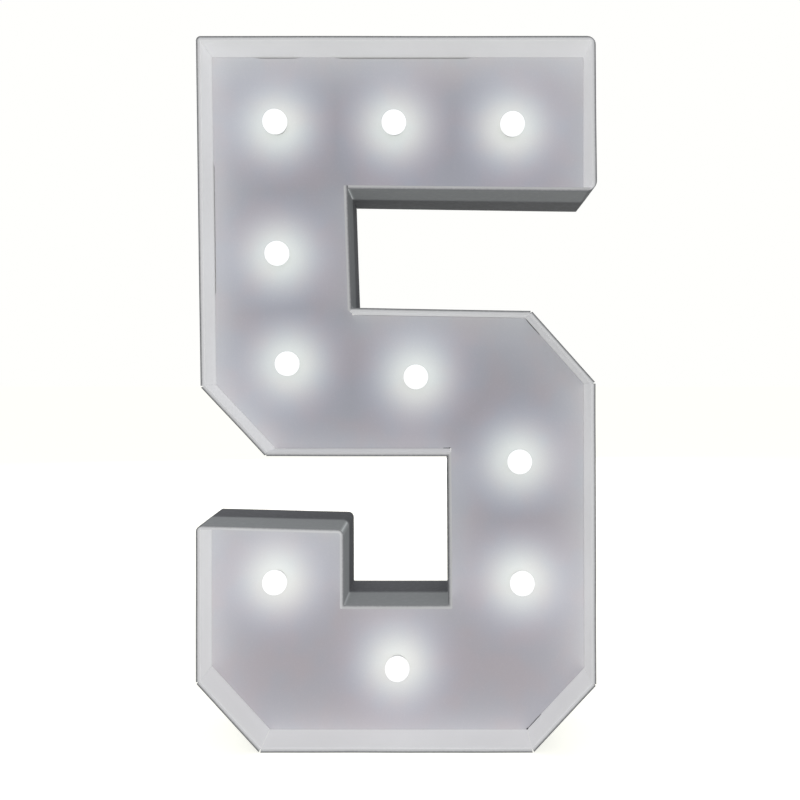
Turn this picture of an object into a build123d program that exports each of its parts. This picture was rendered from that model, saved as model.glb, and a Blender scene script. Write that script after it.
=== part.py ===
from build123d import *
from math import atan2, cos, degrees, hypot, pi, radians, sin, tan
import os

# A light-up marquee number five: folded foam-board walls, a face panel nearly half way back, ten frosted
# lamps and the battery string that feeds them. Millimetres. +X is to the right as seen from the front, +Y is
# to the back and +Z is up. The origin is on the floor, under the middle of the figure's width and depth.

os.makedirs("parts", exist_ok=True)

# The figure's strokes and gaps, from the top down and then from the left. They add up to 914 by 512.
top_stroke = 197.0
upper_gap = 151.5
middle_stroke = 187.5
lower_gap = 90.5
block_drop = 99.0           # from the lower block's top down to the slot's floor
base_stroke = 188.5
block_width = 189.0
slot_width = 134.0
side_stroke = 189.0
stem_width = 196.5
depth = 120.0
corner_run = 81.0           # the cut corners, across
corner_rise = 88.5          # the cut corners, up

# How far hand folding left each corner from that square figure: to the right, and up
strays = {
    "stem_foot": (6.0, 0),
    "crown_right": (-2.0, 0),
    "arm_end": (0, -1.5),
    "arm_root": (-2.5, 1.5),
    "middle_root": (2.5, 2.0),
    "shoulder_top": (-2.5, -2.0),
    "shoulder_foot": (-2.0, -5.0),
    "side_foot": (-1.0, -2.5),
    "block_left": (0, 2.5),
    "block_right": (0, -2.5),
    "slot_top": (-1.5, 0),
    "waist_foot": (7.5, 0),
}

# Foam board
board = 5.0
panel_recess = 55.0         # from the front rim to the panel's face
fold_radius = 6.0           # outside of a tight fold
loose_fold_radius = 9.0     # outside of a fold that bulges
slot_fold_radius = 4.0      # inside of the folds at the slot's floor
vee_mouth = 2.6             # the open joint at a cut corner, at the boards' outer skins
seam = 0.2                  # the same joint at the inner skins
overrun = 0.5               # how far a cut runs past what it cuts
panel_slack = 0.4           # between the panel's edge and a wall
short_slack = 1.5           # the same where the panel was cut short and a dark line shows
ledge_depth = 15.0
ledge_end = 12.0            # from a wall's inner corner to the end of its ledge

# Lamps: sizes along the lamp's axis are counted forward from the panel's face
lamp_hole_radius = 10.0
barrel_clearance = 0.5
barrel_radius = lamp_hole_radius - barrel_clearance
flange_radius = 13.0
flange_thickness = 2.0
socket_radius = 10.0
socket_length = 13.0
nose_radius = 7.5
nose_reach = 9.0
ring_width = 3.0
ring_thickness = 3.0
thread_gap = 0.1
push_gap = 0.1              # between a globe's neck and the nose that it is pushed over
seat_gap = 0.3              # between a globe's neck and the lock ring
globe_radius = 16.0
globe_wall = 1.2
globe_centre = 18.0
neck_wall = 2.6
emitter_radius = 5.0
emitter_base = 1.6
led_radius = 2.5
led_reach = 6.0

# String wire and the clips that hold it to the panel's back
wire = 2.4
wire_lift = 6.0             # from the panel's back to the wire's centre
spout_wall = 1.2
spout_reach = 16.0          # from the lamp's axis to the end of a spout
slack_share = 0.06          # a link's bow, as a share of the straight way between its spouts
straight_share = 0.25       # how far a link runs straight out of a spout, as a share of the same
arc_share = 0.45            # how much of the shorter run beside a bend its arc may take
lead_clip_step = 3          # the lead has a clip on each third run
clip_length = 6.0
clip_width = 9.0
clip_roof = 1.6
clip_gap = 0.3

# Battery box on the panel's back: length along X, width along Z, depth along Y
box_inset = 45.0            # from the base's left corner to the box's end
box_rise = 50.0             # the box's middle above the floor
box_wall = 1.6
tape_thickness = 1.0
tape_margin = 6.0
cell_count = 3
cell_radius = 7.25
cell_length = 50.5
nub_radius = 2.75
nub_length = 1.0
cell_pitch = 15.2
cell_gap = 0.1
spring_length = 5.0
spring_foot = 5.0
spring_tip = 3.2
contact = 0.4
contact_width = 12.0
contact_height = 10.0
control_length = 16.0
box_depth = 19.0
lid_thickness = 1.6
lid_gap = 0.25
tongue = 0.8
ridge_count = 4
ridge_pitch = 3.0
ridge_width = 1.2
ridge_height = 0.5
circuit_lift = 8.0
circuit_thickness = 1.2
circuit_gap = 0.5
circuit_rest = 2.0
boss_radius = 3.0
boss_inset = 4.0
screw_radius = 1.1
screw_gap = 0.05
screw_length = 9.0
screw_head_radius = 2.3
screw_head_height = 1.5
screw_slot = 0.6
switch_length = 8.6
switch_width = 4.4
switch_height = 3.6
knob_length = 4.0
knob_width = 3.0
knob_proud = 1.5
knob_gap = 0.3
knob_travel = 3.0
grommet_wall = 1.2
grommet_lip = 1.0
grommet_gap = 0.1
lead_inside = 6.0           # from the box's end to the lead's end inside it
lead_exit = 15.0            # the lead's straight way out of the box
lead_swing = 75.0           # how far to the side of the first lamp the lead comes up
lead_approach = 24.0        # its straight way into the first lamp's spout

# Places that follow from the sizes above
width = block_width + slot_width + side_stroke
left = -width / 2
right = width / 2
slot_floor = base_stroke
block_top = slot_floor + block_drop
middle_floor = block_top + lower_gap
middle_top = middle_floor + middle_stroke
arm_floor = middle_top + upper_gap
height = arm_floor + top_stroke
notch_side = left + stem_width
block_side = left + block_width
slot_side = block_side + slot_width
front = -depth / 2
back = depth / 2
panel_front = front + panel_recess
panel_back = panel_front + board
wire_level = panel_back + wire_lift

# The square figure's outer outline, clockwise as seen from the front: name, x and z of each corner
corners = [
    ("stem_foot", left, middle_floor + corner_rise),
    ("crown_left", left, height),
    ("crown_right", right, height),
    ("arm_end", right, arm_floor),
    ("arm_root", notch_side, arm_floor),
    ("middle_root", notch_side, middle_top),
    ("shoulder_top", right - corner_run, middle_top),
    ("shoulder_foot", right, middle_top - corner_rise),
    ("side_foot", right, corner_rise),
    ("base_right", right - corner_run, 0),
    ("base_left", left + corner_run, 0),
    ("block_foot", left, corner_rise),
    ("block_left", left, block_top),
    ("block_right", block_side, block_top),
    ("slot_left", block_side, slot_floor),
    ("slot_right", slot_side, slot_floor),
    ("slot_top", slot_side, middle_floor),
    ("waist_foot", left + corner_run, middle_floor),
]
corner_names = [name for name, x, z in corners]
outline = [(x + strays.get(name, (0, 0))[0], z + strays.get(name, (0, 0))[1]) for name, x, z in corners]
corner_count = len(outline)

# Each wall strip: the corners that it runs between, and how it ends at them. An open end leaves the vee of
# a cut corner, a square end stops at a corner, a long end laps over one.
strips = {
    "crown": ("stem_foot", "arm_root", "open", "square"),
    "notch": ("arm_root", "shoulder_top", "long", "open"),
    "shoulder": ("shoulder_top", "shoulder_foot", "open", "open"),
    "right_side": ("shoulder_foot", "side_foot", "open", "open"),
    "lower_right": ("side_foot", "base_right", "open", "open"),
    "base": ("base_right", "base_left", "open", "open"),
    "lower_left": ("base_left", "block_foot", "open", "open"),
    "block": ("block_foot", "waist_foot", "open", "open"),
    "waist": ("waist_foot", "stem_foot", "open", "open"),
}
folds = {
    "crown_left": fold_radius,
    "crown_right": fold_radius,
    "arm_end": loose_fold_radius,
    "block_left": fold_radius,
    "block_right": loose_fold_radius,
    "slot_left": slot_fold_radius,
    "slot_right": slot_fold_radius,
}
short_runs = ["shoulder_top", "side_foot", "crown_left"]

# Columns and rows of the figure that lamps stand in: where each starts, and its size
stem_column = (left, stem_width)
arm_column = (notch_side, right - notch_side)
waist_column = (notch_side, slot_side - notch_side)
block_column = (left, block_width)
slot_column = (block_side, slot_width)
side_column = (slot_side, right - slot_side)
top_row = (arm_floor, top_stroke)
upper_gap_row = (middle_top, upper_gap)
middle_row = (middle_floor, middle_stroke)
side_row = (slot_floor, middle_floor - slot_floor)
block_row = (slot_floor, block_drop)
base_row = (0, slot_floor)

# The lamps in the order that the string reaches them, each by its shares of a column and a row
lamp_shares = [
    (block_column, block_row, 0.493, 0.19),
    (slot_column, base_row, 0.494, 0.495),
    (side_column, side_row, 0.516, 0.093),
    (side_column, side_row, 0.498, 0.941),
    (waist_column, middle_row, 0.659, 0.539),
    (stem_column, middle_row, 0.559, 0.632),
    (stem_column, upper_gap_row, 0.49, 0.507),
    (stem_column, top_row, 0.476, 0.504),
    (arm_column, top_row, 0.172, 0.5),
    (arm_column, top_row, 0.669, 0.489),
]


def share_place(span, share):
    """A place inside a (start, size) span."""
    start, size = span
    return start + size * share


lamps = [(share_place(column, across), share_place(row, up)) for column, row, across, up in lamp_shares]


# Outline arithmetic

def run_direction(i):
    """Unit direction of the outline's run that starts at corner i."""
    (x0, z0), (x1, z1) = outline[i % corner_count], outline[(i + 1) % corner_count]
    length = hypot(x1 - x0, z1 - z0)
    return (x1 - x0) / length, (z1 - z0) / length


def run_normal(i):
    """Unit normal of that run, towards the inside of the figure."""
    dx, dz = run_direction(i)
    return dz, -dx


def shifted(point, direction, distance):
    return point[0] + direction[0] * distance, point[1] + direction[1] * distance


def inset_corner(i, before, after):
    """Corner i moved in, by one distance from the run before it and another from the run after it."""
    ax, az = run_normal(i - 1)
    bx, bz = run_normal(i)
    cross = ax * bz - az * bx
    x, z = outline[i % corner_count]
    return x + (before * bz - after * az) / cross, z + (ax * after - bx * before) / cross


def prism(points, low, high):
    """An outline in X and Z, carried from y = low to y = high."""
    face = make_face(Polyline(*points, close=True))
    return extrude(Plane((0, high, 0), x_dir=(1, 0, 0), z_dir=(0, -1, 0)) * face, amount=high - low)


def block(x_span, y_span, z_span):
    """A box between the low and high values of three spans."""
    sizes = [high - low for low, high in (x_span, y_span, z_span)]
    middles = [(high + low) / 2 for low, high in (x_span, y_span, z_span)]
    return Pos(*middles) * Box(*sizes)


def around(middle, size):
    """The span of a size about its middle."""
    return middle - size / 2, middle + size / 2


def rod(radius, low, high):
    """A cylinder on the Z axis from z = low to z = high."""
    return Pos(0, 0, (low + high) / 2) * Cylinder(radius, high - low)


# Walls

def strip_corners(start, end):
    """The numbers of the corners that a strip starts and ends at, counting on past the last one."""
    first = corner_names.index(start)
    last = corner_names.index(end)
    return first, last if last > first else last + corner_count


def strip_end(i, run, kind, sign):
    """Outer and inner corner of a strip's end at corner i; sign is 1 at the strip's start, -1 at its end."""
    along = run_direction(run)
    inward = run_normal(run)
    corner = outline[i % corner_count]
    if kind == "open":
        outer = shifted(corner, along, sign * vee_mouth / 2)
        inner = shifted(inset_corner(i, board, board), along, sign * seam / 2)
        return outer, inner
    reach = -board if kind == "long" else seam
    outer = shifted(corner, along, sign * reach)
    return outer, shifted(outer, inward, board)


def wall_strip(start, end, start_kind, end_kind):
    """A strip of board stood on edge and folded round the outline."""
    first, last = strip_corners(start, end)
    outer_start, inner_start = strip_end(first, first, start_kind, 1)
    outer_end, inner_end = strip_end(last, last - 1, end_kind, -1)
    folded = range(first + 1, last)
    outer = [outer_start] + [outline[i % corner_count] for i in folded] + [outer_end]
    inner = [inner_start] + [inset_corner(i, board, board) for i in folded] + [inner_end]
    strip = prism(outer + inner[::-1], front, back)
    for i in folded:
        x, z = outline[i % corner_count]
        radius = folds.get(corner_names[i % corner_count])
        if radius:
            upright = strip.edges().filter_by(Axis.Y)
            edges = [e for e in upright if hypot(e.center().X - x, e.center().Z - z) < seam]
            strip = fillet(edges, radius)
    return strip


def ledges(start, end):
    """Board ledges glued to a strip's inner face, which the panel's back rests against."""
    first, last = strip_corners(start, end)
    pieces = []
    for i in range(first, last):
        along = run_direction(i)
        inward = run_normal(i)
        foot_start = shifted(inset_corner(i, board, board), along, ledge_end)
        foot_end = shifted(inset_corner(i + 1, board, board), along, -ledge_end)
        points = [foot_start, foot_end, shifted(foot_end, inward, board), shifted(foot_start, inward, board)]
        pieces.append(prism(points, panel_back, panel_back + ledge_depth))
    return pieces


def face_panel():
    """The panel that carries the lamps, cut to lie inside the walls, with a hole for each lamp."""
    gaps = [board + (short_slack if name in short_runs else panel_slack) for name in corner_names]
    points = [inset_corner(i, gaps[i - 1], gaps[i]) for i in range(corner_count)]
    panel = prism(points, panel_front, panel_back)
    for place in lamps:
        panel -= lamp_plane(place) * rod(lamp_hole_radius, -board - overrun, overrun)
    return panel


# Lamps

def lamp_plane(place):
    """A lamp's own frame: its z axis points forward from the panel's face."""
    return Plane((place[0], panel_front, place[1]), x_dir=(1, 0, 0), z_dir=(0, -1, 0))


def lamp_directions():
    """The way the string runs through each lamp, as an angle in the panel's plane."""
    x, z = lamps[0]
    before = [(x - lead_swing, z - lead_swing)] + lamps[:-1]
    after = lamps[1:] + [(2 * lamps[-1][0] - lamps[-2][0], 2 * lamps[-1][1] - lamps[-2][1])]
    return [atan2(b[1] - a[1], b[0] - a[0]) for a, b in zip(before, after)]


def lamp_holder(angle):
    """A socket pushed through the panel from behind, with a nose for the globe and two spouts for wire."""
    flange_back = -board - flange_thickness
    holder = rod(barrel_radius, -board, ring_thickness)
    holder += rod(flange_radius, flange_back, -board)
    holder += rod(socket_radius, flange_back - socket_length, flange_back)
    holder += rod(nose_radius, ring_thickness, nose_reach)
    spouts = Rot(0, 90, 0) * Cylinder(wire / 2 + spout_wall, 2 * spout_reach)
    return holder + Pos(0, 0, -board - wire_lift) * (Rot(0, 0, degrees(angle)) * spouts)


def lock_ring():
    """A threaded ring, run up on the barrel against the panel's face."""
    inner = barrel_radius + thread_gap
    return rod(inner + ring_width, 0, ring_thickness) - rod(inner, -overrun, ring_thickness + overrun)


def emitter():
    """The light-emitting diode on its small round board, on the nose's end."""
    base_top = nose_reach + emitter_base
    dome = base_top + led_reach - led_radius
    diode = rod(emitter_radius, nose_reach, base_top) + rod(led_radius, base_top, dome)
    return diode + Pos(0, 0, dome) * Sphere(led_radius)


def globe():
    """A hollow frosted ball whose neck pushes over the holder's nose."""
    bore = nose_radius + push_gap
    neck_start = ring_thickness + seat_gap
    shell = Pos(0, 0, globe_centre) * Sphere(globe_radius) + rod(bore + neck_wall, neck_start, globe_centre)
    shell -= rod(globe_radius, globe_centre - globe_radius - overrun, neck_start)
    shell -= Pos(0, 0, globe_centre) * Sphere(globe_radius - globe_wall)
    return shell - rod(bore, 0, globe_centre)


# String wire

def turn_between(a, b, c):
    """Degrees by which the way a, b, c turns at b."""
    return (Vector(*b) - Vector(*a)).get_angle(Vector(*c) - Vector(*b))


def route_radii(points):
    """The largest arc that the two runs at each corner of a route leave room for."""
    radii = []
    for a, b, c in zip(points, points[1:], points[2:]):
        shorter = min((Vector(*b) - Vector(*a)).length, (Vector(*c) - Vector(*b)).length)
        radii.append(arc_share * shorter / tan(radians(turn_between(a, b, c)) / 2))
    return radii


def wire_tube(name, route):
    """A round wire along straight runs joined by tangent arcs, at the wires' level behind the panel."""
    points = [(x, wire_level, z) for x, z in route]
    radii = route_radii(points)
    path = FilletPolyline(*points, radius=radii)
    tube = sweep(Plane(path @ 0, z_dir=path % 0) * Circle(wire / 2), path=path)
    wanted = pi * wire**2 / 4 * path.length
    print(f"{name}: {path.length:.0f} mm long, radii {[round(r) for r in radii]}, "
          f"volume off by {100 * abs(tube.volume / wanted - 1):.3f}%")
    return tube


def spout_end(i, sign):
    """Where a lamp's spout ends, on the side that the string leaves (1) or reaches it (-1)."""
    direction = (cos(string_angles[i]), sin(string_angles[i]))
    return shifted(lamps[i], direction, sign * spout_reach), direction


def link_route(i):
    """The link from lamp i to the next: straight out of each spout, with a little slack between."""
    start, start_way = spout_end(i, 1)
    end, end_way = spout_end(i + 1, -1)
    across = hypot(end[0] - start[0], end[1] - start[1])
    out = shifted(start, start_way, straight_share * across)
    home = shifted(end, end_way, -straight_share * across)
    side = ((end[1] - start[1]) / across, (start[0] - end[0]) / across)
    middle = shifted(((out[0] + home[0]) / 2, (out[1] + home[1]) / 2), side, slack_share * across)
    return [start, out, middle, home, end]


def lead_route():
    """The lead from the battery box, round the foot of the lower block to the first lamp."""
    home, way = spout_end(0, -1)
    start = (box_left + lead_inside, box_rise)
    out = (box_left - lead_exit, box_rise)
    between = [(left + x, z) for x, z in lead_points]
    return [start, out] + between + [shifted(home, way, -lead_approach), home]


def wire_clip(route, run):
    """A clip glued to the panel's back, with a bore for the wire, at the middle of one run of a route."""
    (x0, z0), (x1, z1) = route[run], route[run + 1]
    middle = ((x0 + x1) / 2, (z0 + z1) / 2)
    angle = degrees(atan2(z1 - z0, x1 - x0))
    tall = wire_lift + wire / 2 + clip_roof
    body = Pos(0, 0, -board - tall / 2) * Box(clip_length, clip_width, tall)
    bore = Pos(0, 0, -board - wire_lift) * (Rot(0, 90, 0) * Cylinder(wire / 2 + clip_gap, 2 * clip_length))
    return lamp_plane(middle) * (Rot(0, 0, angle) * (body - bore))


# Battery box: its places

bay_length = cell_length + spring_length + 2 * contact
bay_width = cell_pitch * cell_count
box_length = bay_length + control_length + 3 * box_wall
box_width = bay_width + 2 * box_wall
box_left = left + corner_run + box_inset
box_right = box_left + box_length
box_middle = (box_left + box_right) / 2
box_floor = panel_back + tape_thickness
box_back = box_floor + box_depth
inside_floor = box_floor + box_wall
lid_floor = box_back - lid_thickness
bay_right = box_right - box_wall
bay_left = bay_right - bay_length
partition_left = bay_left - box_wall
control_left = box_left + box_wall
control_middle = (control_left + partition_left) / 2
inside_low = box_rise - bay_width / 2
inside_high = box_rise + bay_width / 2
boss_place = (control_middle, inside_high - boss_inset)
circuit_high = boss_place[1] - boss_radius - circuit_gap
knob_place = (control_middle, box_rise - bay_width / 4)
circuit_floor = inside_floor + circuit_lift
circuit_top = circuit_floor + circuit_thickness
switch_top = circuit_top + switch_height
cell_level = inside_floor + cell_radius + cell_gap
cell_rows = [box_rise + (k - (cell_count - 1) / 2) * cell_pitch for k in range(cell_count)]

# The lead's hand-placed points between the box and the first lamp: from the left wall, and from the floor
lead_points = [(90, 54), (65, 68), (43, 97), (33, 135), (31, 170), (38, 200)]


def back_rod(place, radius, low, high):
    """A cylinder along Y, at an (x, z) place."""
    return Pos(place[0], (low + high) / 2, place[1]) * (Rot(90, 0, 0) * Cylinder(radius, high - low))


def battery_box():
    """The tray: floor, walls, the partition beside the cells, ribs under the circuit and the screw's boss."""
    tray = block((box_left, box_right), (box_floor, box_back), around(box_rise, box_width))
    tray -= block((bay_left, bay_right), (inside_floor, box_back + overrun), (inside_low, inside_high))
    tray -= block((control_left, partition_left), (inside_floor, box_back + overrun),
                  (inside_low, inside_high))
    tray -= block((partition_left, box_right + overrun), (lid_floor - lid_gap, box_back + overrun),
                  (inside_low, inside_high))
    groove = (lid_floor - lid_gap, lid_floor + tongue + lid_gap)
    tray -= block((partition_left + box_wall / 2, box_right + overrun), groove,
                  around(box_rise, bay_width + 2 * tongue))
    for z in (inside_low, circuit_high - circuit_rest):
        tray += block((control_left, partition_left), (inside_floor, circuit_floor), (z, z + circuit_rest))
    tray += back_rod(boss_place, boss_radius, inside_floor, lid_floor)
    tray -= back_rod(boss_place, screw_radius + screw_gap, lid_floor - screw_length, lid_floor + overrun)
    return tray - grommet_hole()


def grommet_hole():
    radius = wire / 2 + grommet_gap + grommet_wall
    cut = Rot(0, 90, 0) * Cylinder(radius, 2 * box_wall)
    return Pos(box_left + box_wall / 2, wire_level, box_rise) * cut


def lead_grommet():
    """A rubber bush where the lead leaves the box: a sleeve in the wall with a lip on each side."""
    bore = wire / 2 + grommet_gap
    sleeve = rod(bore + grommet_wall, 0, box_wall)
    lip_radius = bore + grommet_wall + grommet_lip / 2
    bush = sleeve + rod(lip_radius, -grommet_lip, 0) + rod(lip_radius, box_wall, box_wall + grommet_lip)
    bush -= rod(bore, -2 * grommet_lip, box_wall + 2 * grommet_lip)
    return Pos(box_left, wire_level, box_rise) * (Rot(0, 90, 0) * bush)


def battery_lid():
    """The cells' lid, with tongues that run in the tray's grooves and ridges for a thumb."""
    plate_left = partition_left + box_wall / 2 + lid_gap
    lid = block((plate_left, box_right), (lid_floor, box_back), around(box_rise, bay_width - 2 * lid_gap))
    lid += block((plate_left, box_right), (lid_floor, lid_floor + tongue),
                 around(box_rise, bay_width + 2 * tongue - 2 * lid_gap))
    for k in range(ridge_count):
        x = box_right - (k + 1) * ridge_pitch
        lid += block(around(x, ridge_width), (box_back, box_back + ridge_height),
                     around(box_rise, bay_width / 2))
    return lid


def control_cover():
    """The fixed cover over the circuit, with the switch's slot and the screw's hole."""
    cut = (lid_floor - overrun, box_back + overrun)
    cover = block((control_left, partition_left + box_wall / 2), (lid_floor, box_back),
                  (inside_low, inside_high))
    cover -= block(around(knob_place[0], knob_length + knob_travel + 2 * knob_gap), cut,
                   around(knob_place[1], knob_width + 2 * knob_gap))
    return cover - back_rod(boss_place, screw_radius + screw_gap, *cut)


def cover_screw():
    head_top = box_back + screw_head_height
    screw = back_rod(boss_place, screw_radius, lid_floor - screw_length, box_back)
    screw += back_rod(boss_place, screw_head_radius, box_back, head_top)
    return screw - block(around(boss_place[0], 2 * screw_head_radius),
                         (head_top - screw_slot, head_top + overrun), around(boss_place[1], screw_slot))


def circuit_board():
    """The control circuit on its ribs, clear of the boss."""
    return block((control_left + circuit_gap, partition_left - circuit_gap), (circuit_floor, circuit_top),
                 (inside_low + circuit_gap, circuit_high))


def switch_case():
    return block(around(knob_place[0], switch_length), (circuit_top, switch_top),
                 around(knob_place[1], switch_width))


def switch_knob():
    """The slide switch's knob at its ON end; it slides towards the cells to switch off."""
    on_place = knob_place[0] - knob_travel / 2
    return block(around(on_place, knob_length), (switch_top + knob_gap, box_back + knob_proud),
                 around(knob_place[1], knob_width))


def spring_side(k):
    """1 where cell k's spring is at the partition, -1 where it is at the box's end."""
    return 1 if k % 2 == 0 else -1


def cell(k):
    """A round cell with its flat end on the spring and its nub on the contact at the other end."""
    sign = spring_side(k)
    flat = bay_left + contact + spring_length if sign > 0 else bay_right - contact - spring_length
    shoulder = cell_length - nub_length
    body = rod(cell_radius, 0, shoulder) + rod(nub_radius, shoulder, cell_length)
    return Pos(flat, cell_level, cell_rows[k]) * (Rot(0, sign * 90, 0) * body)


def contact_spring(k):
    sign = spring_side(k)
    foot = bay_left + contact if sign > 0 else bay_right - contact
    cone = Pos(0, 0, spring_length / 2) * Cone(spring_foot, spring_tip, spring_length)
    return Pos(foot, cell_level, cell_rows[k]) * (Rot(0, sign * 90, 0) * cone)


def contact_plates():
    """Plates at both ends of the bay: at each end one cell has its own, and the other two share one."""
    low, middle, high = cell_rows
    half = contact_width / 2
    tall = around(cell_level, contact_height)
    at_partition = (bay_left, bay_left + contact)
    at_end = (bay_right - contact, bay_right)
    return [
        block(at_partition, tall, (low - half, low + half)),
        block(at_partition, tall, (middle - half, high + half)),
        block(at_end, tall, (low - half, middle + half)),
        block(at_end, tall, (high - half, high + half)),
    ]


def box_tape():
    """The foam tape that holds the box to the panel."""
    return block(around(box_middle, box_length - 2 * tape_margin), (panel_back, box_floor),
                 around(box_rise, box_width - 2 * tape_margin))


# Build

string_angles = lamp_directions()
nodes = {"face_panel": face_panel()}
for name, (start, end, start_kind, end_kind) in strips.items():
    nodes[f"{name}_strip"] = wall_strip(start, end, start_kind, end_kind)
    nodes[f"{name}_ledges"] = Compound(children=ledges(start, end))

for number, place in enumerate(lamps, 1):
    nodes[f"globe_{number}"] = lamp_plane(place) * globe()
holders = [lamp_plane(place) * lamp_holder(angle) for place, angle in zip(lamps, string_angles)]
nodes["lamp_holders"] = Compound(children=holders)
nodes["lock_rings"] = Compound(children=[lamp_plane(place) * lock_ring() for place in lamps])
nodes["lamp_emitters"] = Compound(children=[lamp_plane(place) * emitter() for place in lamps])

lead = lead_route()
link_routes = [link_route(i) for i in range(len(lamps) - 1)]
for number, route in enumerate(link_routes, 1):
    nodes[f"wire_link_{number}"] = wire_tube(f"wire_link_{number}", route)
nodes["supply_lead"] = wire_tube("supply_lead", lead)
clips = [wire_clip(route, 1) for route in link_routes]
clips += [wire_clip(lead, run) for run in range(2, len(lead_points), lead_clip_step)]
nodes["wire_clips"] = Compound(children=clips)

nodes["battery_box"] = battery_box()
nodes["battery_lid"] = battery_lid()
nodes["control_cover"] = control_cover()
nodes["cover_screw"] = cover_screw()
nodes["circuit_board"] = circuit_board()
nodes["switch_case"] = switch_case()
nodes["switch_knob"] = switch_knob()
for k in range(cell_count):
    nodes[f"cell_{k + 1}"] = cell(k)
nodes["contact_springs"] = Compound(children=[contact_spring(k) for k in range(cell_count)])
nodes["contact_plates"] = Compound(children=contact_plates())
nodes["lead_grommet"] = lead_grommet()
nodes["box_tape"] = box_tape()

for name, shape in nodes.items():
    shape.label = name
    export_step(shape, f"parts/{name}.step")
print(len(nodes), "nodes")
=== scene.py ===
# %% [markdown]
# # A light-up marquee number
#
# The real object is a figure five, three feet tall. Its walls are strips of foam board stood on edge and folded
# round the outline, a face panel lies half way back between the rims, and ten frosted ball covers glow on it.
# Behind it a string of thin twin wire joins the lamps to a battery box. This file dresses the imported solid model:
# it keeps every place and size, and gives each piece its real form and finish. The model is loaded first, as a
# fixed frame. Pieces are worked out in millimetres and placed in it in metres.

# %% Load the fixed frame
import math

import bmesh
import bpy
import numpy as np
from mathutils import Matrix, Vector, geometry


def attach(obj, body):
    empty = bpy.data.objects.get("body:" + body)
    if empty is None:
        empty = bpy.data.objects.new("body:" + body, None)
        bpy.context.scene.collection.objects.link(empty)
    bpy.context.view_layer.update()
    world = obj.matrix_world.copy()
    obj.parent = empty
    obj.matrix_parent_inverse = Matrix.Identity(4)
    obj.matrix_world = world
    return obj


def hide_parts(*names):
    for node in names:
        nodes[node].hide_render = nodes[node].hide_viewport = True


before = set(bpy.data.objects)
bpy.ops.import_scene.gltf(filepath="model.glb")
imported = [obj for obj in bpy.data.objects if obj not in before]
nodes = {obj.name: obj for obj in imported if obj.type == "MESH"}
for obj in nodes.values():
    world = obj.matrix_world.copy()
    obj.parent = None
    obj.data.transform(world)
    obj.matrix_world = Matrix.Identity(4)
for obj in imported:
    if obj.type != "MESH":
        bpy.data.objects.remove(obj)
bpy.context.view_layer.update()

MM = 0.001

# %% [markdown]
# ## Where the camera stood
#
# The photo was taken from straight in front, a little right of the middle and at half the figure's height: the
# arm's underside, the block's top and the slot's floor show, and their back edges draw in to 0.89 of the front
# ones. That puts the camera 1.0 m from the front rim. Turned to aim at the figure, it would make the upright edges
# lean, which they don't in the photo. So it looks level, and a small lens shift moves the picture.

# %% Camera
camera_data = bpy.data.cameras.new("view_camera")
camera_data.sensor_width = 36
camera_data.lens = 35.417
camera_data.shift_x = -0.041875
camera_data.shift_y = -0.031875
camera_data.clip_start = 0.05
camera = bpy.data.objects.new("view_camera", camera_data)
camera.location = (0.0472, -1.063, 0.4823)
camera.rotation_euler = (math.radians(90), 0, 0)
bpy.context.scene.collection.objects.link(camera)
bpy.context.scene.camera = camera
bpy.context.scene.view_settings.view_transform = "Standard"

# %% [markdown]
# ## Small helpers
#
# A mesh can be pushed about by hand or worked out. Here nearly every piece is one or more grids of points, worked
# out as whole arrays: ring i and place j on the ring. These helpers join the grids into quads, make the object
# and put it on its body. Edges sharper than 35 degrees stay sharp, and the rest is shaded smoothly.

# %% Mesh helpers
SHARP = math.radians(35)


def grid_faces(rows, columns, first=0, close_rows=False, caps=False):
    """Quads of a grid whose vertex (i, j) has the number first + i * columns + j. Each row is a closed loop. With
    close_rows the last row joins the first, and with caps the first and the last row are filled."""
    i, j = np.meshgrid(np.arange(rows if close_rows else rows - 1), np.arange(columns), indexing="ij")
    below, beside = (i + 1) % rows, (j + 1) % columns
    quads = np.stack([i * columns + j, i * columns + beside, below * columns + beside, below * columns + j], axis=-1)
    ends = [first, first + (rows - 1) * columns] if caps else []
    return (first + quads.reshape(-1, 4)).tolist() + [list(range(end, end + columns)) for end in ends]


def to_object(name, mesh, body, replaces):
    """A mesh as an object at the origin, on a CAD body and in place of CAD nodes."""
    mesh.set_sharp_from_angle(angle=SHARP)
    piece = bpy.data.objects.new(name, mesh)
    bpy.context.scene.collection.objects.link(piece)
    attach(piece, body)
    if replaces:
        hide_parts(*replaces)
    print(f"{name}: {len(mesh.polygons)} faces")
    return piece


def make_piece(name, points, faces, finishes, replaces, slot, body="figure", face_finish=None, merge=False):
    """A piece from points in metres, with its faces turned outwards. face_finish gives each face the number of its
    material. merge closes poles, where a whole row of points falls together."""
    mesh = bpy.data.meshes.new(name)
    mesh.from_pydata(points.tolist(), [], faces)
    for finish in finishes:
        mesh.materials.append(finish)
    if face_finish is not None:
        mesh.polygons.foreach_set("material_index", np.asarray(face_finish, np.int32))
    work = bmesh.new()
    work.from_mesh(mesh)
    if merge:
        bmesh.ops.remove_doubles(work, verts=work.verts, dist=1e-7)
    bmesh.ops.recalc_face_normals(work, faces=work.faces)
    work.to_mesh(mesh)
    work.free()
    mesh.shade_smooth()
    return to_object(name, mesh, body, replaces)


def grid_piece(name, grids, finishes, replaces, slot, close_rows=False, caps=False, **more):
    """A piece made of one or more grids of points."""
    faces, first = [], 0
    for grid in grids:
        faces += grid_faces(*grid.shape[:2], first, close_rows, caps)
        first += grid.shape[0] * grid.shape[1]
    points = np.concatenate([grid.reshape(-1, 3) for grid in grids])
    return make_piece(name, points, faces, finishes, replaces, slot, **more)


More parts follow.
